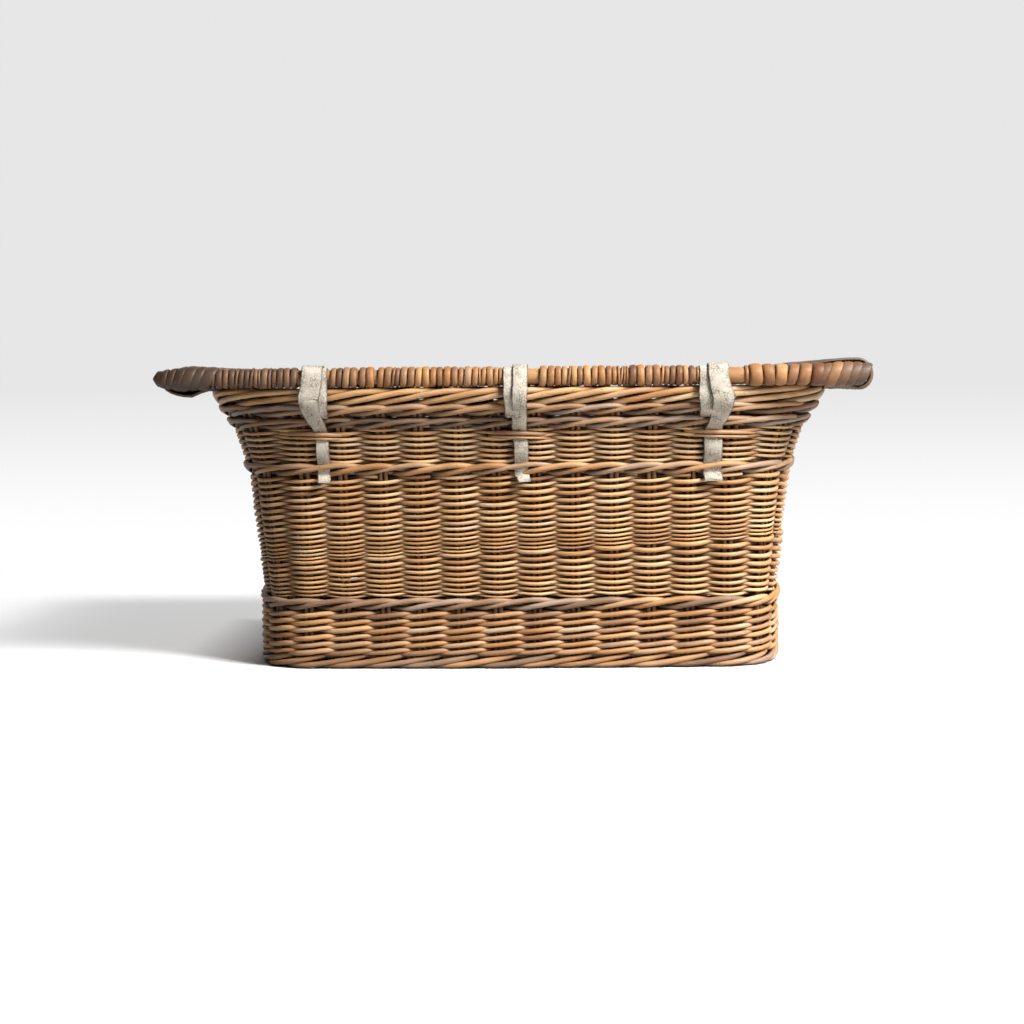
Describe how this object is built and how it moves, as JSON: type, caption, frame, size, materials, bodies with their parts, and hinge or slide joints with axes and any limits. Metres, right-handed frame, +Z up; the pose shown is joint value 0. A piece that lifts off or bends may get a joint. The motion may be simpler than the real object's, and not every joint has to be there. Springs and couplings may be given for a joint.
{
  "type": "laundry hamper",
  "caption": "Long low willow laundry hamper with flared woven walls, a rolled border and a flat woven lid hung on leather strap hinges.",
  "frame": {"origin": "centre of the basket's plan, on the floor under its foot border", "axes": "+X along the length to the right as seen from the hinge side, +Y from the hinge side to the opening side, +Z up"},
  "size_m": [0.8798, 0.5686, 0.389],
  "materials": {
    "willow": "aged buff willow rods, woven, dry satin",
    "sticks": "aged peeled willow sticks, dry satin",
    "strap_leather": "cracked pale cream leather, matt"
  },
  "bodies": {
    "basket": {"foot_border": "willow", "foot_waling": "willow", "lower_wale": "willow", "main_weave": "willow", "upper_wale": "willow", "upper_weave": "willow", "border_wale_lower": "willow", "border_wale_upper": "willow", "top_border": "willow", "inner_weave": "willow", "inner_upper_weave": "willow", "base_weave": "willow", "side_stakes": "sticks", "base_sticks": "sticks", "hinge_strap_left": "strap_leather", "hinge_strap_centre": "strap_leather", "hinge_strap_right": "strap_leather"},
    "lid": {"lid_weave": "willow", "lid_end_binding_left": "willow", "lid_end_binding_right": "willow", "lid_back_stick": "sticks", "lid_front_stick": "sticks", "lid_inner_sticks": "sticks"}
  },
  "joints": [
    {"name": "lid_hinge", "type": "hinge", "parent": "basket", "child": "lid", "pos_m": [0, -0.268, 0.367], "axis": [1, 0, 0], "range_deg": [0, 110]}
  ]
}
